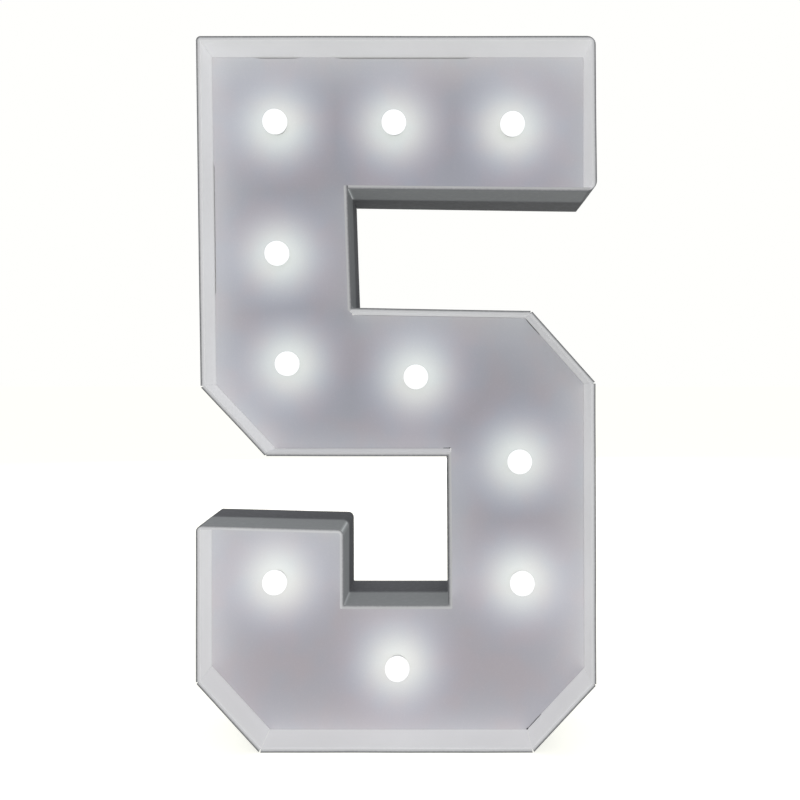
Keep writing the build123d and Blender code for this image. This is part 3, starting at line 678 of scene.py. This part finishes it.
def ball_profile():
    """Outside from pole to neck, the neck's rounded end, and the inside back to the pole. Ball: radius R sin(t)
    at height c + R cos(t). The band at the mould's line fills it out to R, and no further."""
    inside = BALL - BALL_WALL
    stop = math.pi - math.asin(NECK / BALL)
    t = np.linspace(0, stop - 0.09, 40)
    bead = MOULD_LINE * np.exp(-((t - np.pi / 2) / 0.025) ** 2)
    outside = np.stack([(BALL + bead) * np.sin(t), BALL_HEIGHT + (BALL + bead) * np.cos(t)], axis=1)
    outside[:, 0] = np.minimum(outside[:, 0], BALL)
    neck_top = BALL_HEIGHT + BALL * math.cos(stop)
    neck = [(NECK + 0.35, neck_top + 0.1), (NECK, neck_top - 0.5), (NECK, NECK_END + 0.4),
            (NECK - 0.12, NECK_END + 0.1), (NECK - 0.4, NECK_END), (NECK_BORE + 0.4, NECK_END),
            (NECK_BORE + 0.1, NECK_END + 0.1), (NECK_BORE, NECK_END + 0.4)]
    t = np.linspace(math.pi - math.asin(NECK_BORE / inside), 0, 28)
    return np.concatenate([outside, neck, np.stack([inside * np.sin(t), BALL_HEIGHT + inside * np.cos(t)], axis=1)])


def frosted_polyethylene(tree):
    """Milky blow-moulded polyethylene, lit from within: soft sheen, and light over the whole ball."""
    place = add(tree, "SeparateXYZ", {"Vector": add(tree, "TexCoord").outputs["Object"]})
    return {"Base Color": linear("#f2f4f6"), "Roughness": 0.38, "Emission Color": linear("#fdfeff"),
            "Emission Strength": add(tree, "MapRange", {0: place.outputs["Y"], 1: -0.011, 2: -0.024, 3: 0.25, 4: 0.65}),
            "Normal": relief(tree, 0.02, 0.8, 0.1)}


FROSTED = new_material("frosted_polyethylene", frosted_polyethylene)
ball = lathe(ball_profile(), 56)
for k in range(len(lamps)):
    grid_piece(f"ball_cover_{k + 1}", [at_lamp(ball, k)], [FROSTED], [f"globe_{k + 1}"], "frosted_globe",
               body=f"globe_{k + 1}", merge=True)

# %% [markdown]
# ## Lamp holders, lock rings and diodes
#
# A holder is pushed through the panel from behind and clamped by a ring that screws up on its barrel. Both are
# white ABS, moulded, and turned profiles too: edges slightly round, grip flutes round the socket and the ring, a
# thread on the barrel. Two spouts for the wire leave each socket, in the direction in which the string runs there.

# %% Moulded plastic and diode finishes
def moulded(name, dark, light, roughness, grain=0.6, bump=0.02):
    """A moulded plastic: even colour with a faint unevenness, and the fine texture of its mould."""
    return two_tone(name, 9.0, dark, light, (bump, grain), Roughness=roughness, Specular_IOR_Level=0.45)


ABS = moulded("moulded_white_abs", "#dedede", "#e6e6e5", 0.35)          # glossy, slightly wavy skin
# A white diode's dome: yellow phosphor under clear resin, lit
PHOSPHOR = two_tone("diode_phosphor", 1.0, "#f2e27a", "#f7eda6", Roughness=0.2, Coat_Weight=0.6,
                    Emission_Color=linear("#fff9e6"), Emission_Strength=4.0)

# %% Lamp holders
FLANGE, SOCKET, BARREL, NOSE = 13.0, 10.0, 9.5, 7.5            # radii
FLANGE_BACK, SOCKET_BACK, NOSE_END, RING_TOP = -7.0, -20.0, 9.0, 3.0
THREAD, WIRE_BACK = 0.12, 11.0
holder_rows = [
    (0, SOCKET_BACK, 0), (4, SOCKET_BACK, 0), (4.6, SOCKET_BACK + 0.6, 0), (8.6, SOCKET_BACK + 0.6, 0),
    (9.1, SOCKET_BACK, 0), (9.6, SOCKET_BACK + 0.1, 0), (SOCKET, SOCKET_BACK + 0.6, 0.4),
    (SOCKET, SOCKET_BACK + 2, 1), (SOCKET, -15, 1), (SOCKET, FLANGE_BACK - 2.5, 1), (SOCKET, FLANGE_BACK - 1.2, 0),
    (SOCKET + 0.6, FLANGE_BACK, 0), (FLANGE - 0.5, FLANGE_BACK, 0), (FLANGE, FLANGE_BACK + 0.4, 0),
    (FLANGE, -5.3, 0), (FLANGE - 0.3, -5, 0), (BARREL, -5, 0)]
holder_rows += [(BARREL - THREAD + THREAD * math.cos(2 * math.pi * h), h, 0)
                for h in np.linspace(-4.6, RING_TOP - 0.3, 34)]
holder_rows += [(BARREL - 0.5, RING_TOP, 0), (NOSE, RING_TOP, 0), (NOSE, NOSE_END - 0.5, 0),
                (NOSE - 0.5, NOSE_END, 0), (0, NOSE_END, 0)]
holder = lathe(holder_rows, 96, 24, 0.7)


def laid_down(turned, place, angle, level):
    """A lathe form turned to lie in the panel's plane, from a place and at an angle to +X."""
    lengthwise = -turned[..., 1]
    return np.stack([place[0] + lengthwise * math.cos(angle) - turned[..., 2] * math.sin(angle), level + turned[..., 0],
                     place[1] + lengthwise * math.sin(angle) + turned[..., 2] * math.cos(angle)], axis=-1)


# Two tapered tubes that lie along one line through the socket
spout = [(0, -16), (1.3, -16), (2.1, -16), (2.3, -15.8), (2.4, -15.4), (2.4, -12), (2.4, -10.2)]
spouts = lathe(spout + [(radius, -reach) for radius, reach in spout[::-1]], 24)
holders = [at_lamp(holder, k) for k in range(len(lamps))]
holders += [at_lamp(laid_down(spouts, (0, 0), angle, WIRE_BACK), k) for k, angle in enumerate(string_angles)]
grid_piece("lamp_holders_moulded", holders, [ABS], ["lamp_holders"], "white_plastic", merge=True)

# %% Lock rings
ring_rows = [(9.6, 0.05, 0), (9.75, 0, 0), (12.2, 0, 0), (12.6, 0.3, 1), (12.6, 1.5, 1), (12.6, 2.6, 1),
             (12.2, 3.0, 0.3), (10.1, 3.0, 0), (9.6, 2.6, 0)]
ring = lathe(ring_rows, 96, 32, 0.6)
grid_piece("lock_rings_moulded", [at_lamp(ring, k) for k in range(len(lamps))], [ABS], ["lock_rings"],
           "white_plastic", close_rows=True)

# %% Diodes on their round boards
disc_rows = [(0, 9.0), (4.7, 9.0), (5.0, 9.2), (5.0, 10.4), (4.7, 10.6), (2.9, 10.6), (2.9, 11.3), (2.5, 11.6)]
dome = [(2.5 * math.cos(t), 14.1 + 2.5 * math.sin(t)) for t in np.linspace(0, math.pi / 2, 10)]
diode = lathe(disc_rows + dome, 40)
lit_rows = np.repeat(np.arange(len(diode) - 1) >= len(disc_rows) - 2, diode.shape[1])
grid_piece("diodes", [at_lamp(diode, k) for k in range(len(lamps))], [ABS, PHOSPHOR], ["lamp_emitters"],
           "phosphor_led", face_finish=np.tile(lit_rows, len(lamps)), merge=True)

# %% [markdown]
# At three corners a fine dark line of shade lies between the panel and a wall, which ends in a dot at two of
# them. It is drawn as painted shadow: a dark grey bead. Each bead is a rod with round ends, half sunk in the panel.

# %% Painted shadow beads
# Which run of wall, from where to where along its inner face, and the bead's radius, in mm
bead_rows = [("shoulder_top", 0.5, 31.0, 0.75), ("slot_top", 0.5, 10.5, 0.7), ("slot_top", 0.3, 3.0, 1.1),
             ("side_foot", 84.0, 112.5, 0.55), ("side_foot", 110.5, 113.5, 1.2)]
BEAD_APART = 0.3                       # from the wall's inner face
# Painted shadow: a dark grey bead stands for the shade in the gap between panel and wall
SHADOW_GREY = moulded("painted_shadow_grey", "#37383c", "#424347", 0.5, 0.8, 0.05)         # half dull, slightly lumpy
bulge = np.sin(np.linspace(0, np.pi, 13)) ** 0.4
beads = []
for name, low, high, radius in bead_rows:
    k = corner_names.index(name)
    rod = lathe(np.stack([radius * bulge, np.linspace(0, high - low, 13)], axis=1), 16)
    start = inner_corners[k] + way[k] * low + inward[k] * BEAD_APART
    beads.append(laid_down(rod, start, math.atan2(way[k][1], way[k][0]), PANEL) * MM)
grid_piece("painted_shadow_beads", beads, [SHADOW_GREY], [], "face_board", merge=True)

# %% [markdown]
# ## The string
#
# The string is thin twin wire: two cores side by side, each in its own PVC sleeve, 2.4 mm across in all. It is
# limp and laid by hand from spout to spout, so each link bows a little. Each link's line is a smooth spline that
# is drawn by the same few points as the solid's route and read from Blender as points, and a profile like a flat
# figure eight is carried along it. The links are cords that go back into the object at both ends.

# %% Twin wire
CORE, CORE_PLACE = 0.64, 0.56          # a sleeve's radius, and how far its middle lies from the wire's
WIRE_LEVEL = PANEL + WIRE_BACK
link_routes = [
    [(-147.0, 204.7), (-104.8, 197.8), (-88.9, 137.8), (-59.6, 93.5), (-16.8, 93.4)],
    [(15.2, 93.2), (58.3, 93.1), (102.3, 115.7), (134.4, 155.2), (156.4, 192.4)],
    [(172.7, 219.9), (189.6, 248.5), (194.6, 286.0), (183.7, 323.1), (168.5, 352.6)],
    [(153.8, 381.0), (136.9, 413.8), (110.2, 443.1), (72.5, 458.5), (38.6, 472.8)],
    [(9.1, 485.3), (-23.9, 499.2), (-65.6, 489.2), (-107.4, 462.1), (-134.2, 485.9)],
    [(-158.1, 507.1), (-180.4, 526.9), (-161.7, 561.8), (-157.4, 596.6), (-158.9, 626.3)],
    [(-160.5, 658.3), (-162.4, 694.9), (-171.2, 736.7), (-197.5, 777.0), (-173.1, 804.3)],
    [(-151.8, 828.2), (-130.0, 852.7), (-92.8, 826.5), (-54.0, 816.0), (-21.2, 815.7)],
    [(10.8, 815.3), (42.0, 815.1), (73.1, 807.0), (104.4, 814.0), (135.6, 813.6)],
]
link_lengths = [193, 185, 142, 153, 158, 130, 159, 145, 126]
lead_route = [(-124.0, 50.0), (-145.0, 50.0), (-166.0, 54.0), (-191.0, 68.0), (-213.0, 97.0), (-223.0, 135.0),
              (-225.0, 170.0), (-218.0, 200.0), (-202.3, 213.8), (-178.6, 209.9)]


def spline_points(route):
    """The smooth line of a route: a NURBS spline of order 3 with the route's points as its control points."""
    curve = bpy.data.curves.new("line", "CURVE")
    curve.dimensions = "3D"
    spline = curve.splines.new("NURBS")
    spline.points.add(len(route) - 1)
    for point, (x, z) in zip(spline.points, route):
        point.co = (x * MM, WIRE_LEVEL * MM, z * MM, 1)
    spline.order_u = 3
    spline.use_endpoint_u = True
    spline.resolution_u = 14
    line = bpy.data.objects.new("line", curve)
    mesh = bpy.data.meshes.new_from_object(line)
    points = np.zeros(len(mesh.vertices) * 3)
    mesh.vertices.foreach_get("co", points)
    bpy.data.objects.remove(line)
    return points.reshape(-1, 3)


def twin_section():
    """Two circles of the sleeve's radius, side by side and just overlapping, as one closed loop of (a, b)."""
    swing = math.acos(-CORE_PLACE / CORE) - 0.05
    t = np.linspace(-swing, swing, 13)
    half = np.stack([CORE_PLACE + CORE * np.cos(t), CORE * np.sin(t)], axis=1)
    return np.concatenate([half, -half])


def wire_piece(name, route, node):
    """The section carried along the line: point (i, j) is line_i + a_j beside_i + b_j up, in the panel's plane."""
    line = spline_points(route)
    along = np.gradient(line, axis=0)
    along /= np.linalg.norm(along, axis=1)[:, None]
    up = np.array([0, 1, 0])
    beside = np.cross(along, up)
    a, b = twin_section().T * MM
    points = line[:, None] + beside[:, None] * a[None, :, None] + up * b[None, :, None]
    piece = grid_piece(name, [points], [SLEEVE], [node], "wire_sleeve", caps=True)


SLEEVE = moulded("white_pvc_sleeve", "#d6d6d4", "#e0e0de", 0.4, 1.2, 0.01)        # soft gloss, slightly wavy
for number, (route, length) in enumerate(zip(link_routes, link_lengths), 1):
    wire_piece(f"twin_wire_{number}", route, f"wire_link_{number}")
wire_piece("twin_lead", lead_route, "supply_lead")

# %% [markdown]
# ## Wire clips
#
# Small nylon saddles are glued to the panel's back and arch over the wire. A saddle is one arch-shaped profile,
# carried along the wire: two feet, straight cheeks and a round top, with the wire's bore through it.

# %% Wire clips
clip_places = [(-96.8, 167.8), (80.3, 104.4), (192.1, 267.2), (123.6, 428.4), (-44.8, 494.2), (-171.1, 544.4),
               (-166.8, 715.8), (-111.4, 839.6), (57.5, 811.0), (-178.5, 61.0), (-224.0, 152.5)]
clip_runs = [route[1:3] for route in link_routes] + [lead_route[2:4], lead_route[5:7]]
CLIP_LENGTH, CLIP_WIDTH, CLIP_TALL, CLIP_BORE, BORE_HEIGHT = 6.0, 9.0, 8.8, 1.5, 6.0
CLIP_ROUND, CLIP_DRAWN_IN = 0.35, 0.93      # how far its ends are rounded off, and to which share of its outline


def clip_loops():
    """The arch's outside and the bore, as loops of (across, height) with matching points, both starting below.
    The outside is a rounded box: half width |cos|^0.35 by half height |sin|^0.45, drawn in above its feet."""
    turn = np.linspace(-math.pi / 2, 1.5 * math.pi, 49)[:-1]
    c, s = np.cos(turn), np.sin(turn)
    half, middle = CLIP_WIDTH / 2, CLIP_TALL / 2
    across, height = half * np.sign(c) * np.abs(c) ** 0.35, middle + middle * np.sign(s) * np.abs(s) ** 0.45
    waist = 1 - 0.14 * np.exp(-((height - 3.0) / 1.6) ** 2)
    return (np.stack([across * waist, height], axis=1),
            np.stack([CLIP_BORE * c, BORE_HEIGHT + CLIP_BORE * s], axis=1))


def clip_grid(place, run):
    """One saddle: outside and bore as loops at both of its ends, the outside's ends rounded off a little."""
    outside, bore = clip_loops()
    (x0, z0), (x1, z1) = run
    length = math.hypot(x1 - x0, z1 - z0)
    along = np.array([(x1 - x0) / length, (z1 - z0) / length])
    end = CLIP_LENGTH / 2
    middle = outside.mean(axis=0)
    rounded = middle + (outside - middle) * CLIP_DRAWN_IN
    rows = [(bore, -end), (rounded, -end), (outside, CLIP_ROUND - end), (outside, end - CLIP_ROUND), (rounded, end),
            (bore, end)]
    return np.stack([np.stack([place[0] + along[0] * reach - along[1] * loop[:, 0],
                               PANEL + BOARD + np.clip(loop[:, 1], 0, None),
                               place[1] + along[1] * reach + along[0] * loop[:, 0]], axis=1)
                     for loop, reach in rows]) * MM


NYLON = moulded("moulded_nylon", "#d9d8d3", "#e2e1dc", 0.42)            # a little yellower and duller than the ABS
clips = [clip_grid(place, run) for place, run in zip(clip_places, clip_runs)]
grid_piece("wire_saddles", clips, [NYLON], ["wire_clips"], "clip_plastic", close_rows=True)

# %% [markdown]
# ## Battery box
#
# The box, its lid and its cover are moulded, and a moulding has no sharp edge. Their CAD solids have the right
# shape, so each piece is a copy of its solid with the doubles merged and a small bevel on every edge, which
# catches the light as a real moulding's edge does. The cells, the springs and the bush are worked out anew,
# because a solid cone or a plain rod would not pass for them when the lid is off.

# %% Metal and laminate finishes
# Nickel plate on drawn steel: bright, with fine draw lines
NICKEL = two_tone("nickel_plated_steel", 2.0, "#c2c0bb", "#cfcdc9", (0.01, 0.4), Metallic=1.0, Roughness=0.28)


def laminate(tree):
    """Green solder mask over copper tracks, worked out as bricks on the board's plane: half glossy."""
    tracks = add(tree, "TexBrick", {
        "Vector": add(tree, "TexCoord").outputs["Object"], "Scale": 1.0, "Mortar Size": 0.0003,
        "Brick Width": 0.0042, "Row Height": 0.0021, "Color1": linear("#10532c"), "Color2": linear("#0e4a28"),
        "Mortar": linear("#2c7a45")})
    return {"Base Color": tracks, "Roughness": 0.3, "Normal": relief(tree, 0.02, 1.0)}


dress("circuit_board", new_material("green_glass_laminate", laminate))
dress("switch_case", NICKEL)

# %% Softened copies of solids
BOX_PLASTIC = moulded("textured_white_polystyrene", "#d3d3d0", "#dcdcd9", 0.5, 0.35, 0.03)     # half dull, textured
BLACK_PLASTIC = moulded("moulded_black_abs", "#141415", "#1e1e20", 0.4)                        # satin
TAPE = moulded("white_foam_tape", "#d2d2ca", "#e2e2dc", 0.85, 0.6, 0.1)                        # dull, open cells


def softened(name, node, finish, width, body="figure"):
    """A copy of a CAD node, merged, its flat faces made whole and its edges rounded by a width in millimetres."""
    mesh = nodes[node].data.copy()
    mesh.name = name
    mesh.materials.clear()
    mesh.materials.append(finish)
    work = bmesh.new()
    work.from_mesh(mesh)
    bmesh.ops.remove_doubles(work, verts=work.verts, dist=2e-6)
    bmesh.ops.dissolve_limit(work, angle_limit=math.radians(2), verts=work.verts, edges=work.edges)
    for face in work.faces:
        face.smooth = True
    work.to_mesh(mesh)
    work.free()
    piece = to_object(name, mesh, body, [node])
    bevel = piece.modifiers.new("moulded_edges", "BEVEL")
    bevel.width = width * MM
    bevel.segments = 2
    bevel.limit_method = "ANGLE"
    bevel.angle_limit = SHARP
    bevel.use_clamp_overlap = True


softened("battery_tray", "battery_box", BOX_PLASTIC, 0.35)
softened("cell_lid", "battery_lid", BOX_PLASTIC, 0.25, "battery_lid")
softened("switch_cover", "control_cover", BOX_PLASTIC, 0.2)
softened("slide_knob", "switch_knob", BLACK_PLASTIC, 0.2, "switch_knob")
softened("mounting_tape", "box_tape", TAPE, 0.2)
softened("contact_strips", "contact_plates", NICKEL, 0.08)

# %% Cells
CELL_RADIUS, CELL_LENGTH, CELL_LEVEL, CELL_SIDES = 7.25, 50.5, 9.95, 64
BAY_LEFT, BAY_RIGHT, CONTACT, SPRING = -110.8, -54.5, 0.4, 5.0
cell_rows = [34.8, 50.0, 65.2]
# Radius, distance from the flat end, and finish: 0 bare metal, 1 dark wrap, 2 copper wrap
wrap_rows = np.array([
    (0, 0, 0), (4.6, 0, 0), (4.9, 0.25, 0), (6.2, 0.25, 0), (6.5, 0, 1), (7.0, 0.05, 1), (CELL_RADIUS, 0.4, 1),
    (CELL_RADIUS, 36, 1), (CELL_RADIUS, 36.05, 2), (CELL_RADIUS, 48.6, 2), (7.05, 49.0, 2), (6.4, 49.1, 2),
    (6.2, 48.9, 0), (4.4, 48.9, 0), (3.9, 49.4, 0), (2.9, 49.5, 0), (2.7, 49.7, 0), (2.7, 50.3, 0),
    (2.4, CELL_LENGTH, 0), (0, CELL_LENGTH, 0)])


def along_x(turned, start, sign, level, row):
    """A lathe form turned to lie along X from a start, towards +X or -X, in metres."""
    return np.stack([start - sign * turned[..., 1], level + turned[..., 0], row + turned[..., 2]], axis=-1) * MM


DARK_WRAP = moulded("dark_film_wrap", "#2a2c30", "#33363a", 0.3, 3.0, 0.01)       # glossy shrunk film
COPPER_WRAP = moulded("copper_film_wrap", "#9a6440", "#a87048", 0.28, 3.0, 0.01)  # the same film in another colour
cell = lathe(wrap_rows[:, :2], CELL_SIDES)
wrap = np.repeat(wrap_rows[1:, 2].astype(int), CELL_SIDES)
cell_signs = [1, -1, 1]                # which way each cell points
for k, (row, sign) in enumerate(zip(cell_rows, cell_signs), 1):
    flat_end = BAY_LEFT + CONTACT + SPRING if sign > 0 else BAY_RIGHT - CONTACT - SPRING
    grid_piece(f"round_cell_{k}", [along_x(cell, flat_end, sign, CELL_LEVEL, row)], [NICKEL, DARK_WRAP, COPPER_WRAP],
               [f"cell_{k}"], "cell_wrap", face_finish=wrap, merge=True)

# %% Contact springs
SPRING_WIRE, SPRING_WIDE, SPRING_TAPER = 0.35, 4.65, 1.8      # the wire's and the coil's radii, and its taper
SPRING_TURNS, FLAT_SHARE = 4.0, 0.12                          # its turns, and the share that lies flat at each end


def coil():
    """A cone-shaped coil, as a lathe form is: the wire's line runs at radius wide - taper t and climbs over four
    turns, and a small circle is carried round it. Its first and last half turn lie flat."""
    t = np.linspace(0, 1, 150)
    climb = np.clip((t - FLAT_SHARE) / (1 - 2 * FLAT_SHARE), 0, 1)
    radius, angle = SPRING_WIDE - SPRING_TAPER * t, 2 * np.pi * SPRING_TURNS * t
    height = SPRING_WIRE + (SPRING - 2 * SPRING_WIRE) * climb
    line = np.stack([radius * np.cos(angle), height, radius * np.sin(angle)], axis=1)
    outwards = np.stack([np.cos(angle), np.zeros_like(angle), np.sin(angle)], axis=1)
    around = np.linspace(0, 2 * np.pi, 9)[:-1]
    ring = np.cos(around)[None, :, None] * outwards[:, None] + np.sin(around)[None, :, None] * np.array([0, 1, 0])
    return (line[:, None] + SPRING_WIRE * ring) * np.array([1, -1, 1])


springs = [along_x(coil(), BAY_LEFT + CONTACT if sign > 0 else BAY_RIGHT - CONTACT, sign, CELL_LEVEL, row)
           for row, sign in zip(cell_rows, cell_signs)]
grid_piece("coil_springs", springs, [NICKEL], ["contact_springs"], "plated_steel", caps=True)

# %% Screw and rubber bush
softened("cover_screw_turned", "cover_screw", NICKEL, 0.15)
RUBBER = moulded("black_rubber", "#17171a", "#202023", 0.75)                      # dull, soft highlights
bush_rows = [(1.3, -0.7), (1.5, -1.0), (2.6, -1.0), (3.0, -0.6), (3.0, -0.2), (2.8, 0), (2.5, 0), (2.5, 1.6),
             (2.8, 1.6), (3.0, 1.8), (3.0, 2.2), (2.6, 2.6), (1.5, 2.6), (1.3, 2.3)]
bush = along_x(lathe(bush_rows, 40), -130.0, 1, WIRE_LEVEL, 50.0)
grid_piece("rubber_bush", [bush], [RUBBER], ["lead_grommet"], "black_rubber", close_rows=True)

# %% [markdown]
# ## Stage
#
# A plain white floor and white air behind, a broad soft light in front and a smaller one behind. The world is
# white only where the camera, a reflection or a clear material looks at it, and gives the object plain weak
# light. The floor is a little brighter than it is lit, again only to the eye, so that it joins the white behind
# and still keeps the figure's shadow.

# %% Floor, world and lights
AMBIENT, FLOOR_REACH = 0.42, 30


def seen(tree):
    """1 for a ray from the camera, a reflection or a clear material, else 0."""
    path = add(tree, "LightPath").outputs
    first = add(tree, "Math", {0: path["Is Camera Ray"], 1: path["Is Glossy Ray"]}, operation="MAXIMUM")
    return add(tree, "Math", {0: first, 1: path["Is Transmission Ray"]}, operation="MAXIMUM")


world = bpy.context.scene.world = bpy.data.worlds.new("white_studio")
tree = empty_tree(world)
light = add(tree, "Background", {"Color": linear("#ffffff"), "Strength": AMBIENT})
shown = add(tree, "Background", {"Color": linear("#fffffd"), "Strength": 1.0})
add(tree, "OutputWorld", {"Surface": add(tree, "MixShader", {0: seen(tree), 1: light, 2: shown})})

floor_material = bpy.data.materials.new("white_floor")
tree = empty_tree(floor_material)
plain = add(tree, "BsdfDiffuse", {"Color": linear("#e6e6df")})
bright = add(tree, "Emission", {"Color": linear("#fffff8"), "Strength": 0.7})
both = add(tree, "AddShader", {0: plain, 1: bright})
add(tree, "OutputMaterial", {"Surface": add(tree, "MixShader", {0: seen(tree), 1: plain, 2: both})})
floor_mesh = bpy.data.meshes.new("floor")
floor_mesh.from_pydata([(x * FLOOR_REACH, y * FLOOR_REACH, 0) for x, y in ((-1, -1), (1, -1), (1, 1), (-1, 1))], [],
                       [(0, 1, 2, 3)])
floor_mesh.materials.append(floor_material)
floor = bpy.data.objects.new("floor", floor_mesh)
bpy.context.scene.collection.objects.link(floor)


def soft_light(name, place, aim, size, power):
    """A square soft light at a place, turned to face a point."""
    data = bpy.data.lights.new(name, "AREA")
    data.shape, data.size, data.energy = "SQUARE", size, power
    lamp = bpy.data.objects.new(name, data)
    lamp.location = place
    lamp.rotation_euler = (Vector(aim) - Vector(place)).to_track_quat("-Z", "Y").to_euler()
    lamp.visible_camera = False
    bpy.context.scene.collection.objects.link(lamp)
    print(f"{name}: {power} W over {size} m")


soft_light("front_soft_light", (0.3, -3.4, 0.9), (0, 0, 0.45), 3.0, 45)
soft_light("rear_soft_light", (-0.3, 3.4, 0.7), (0, 0, 0.45), 1.5, 56)
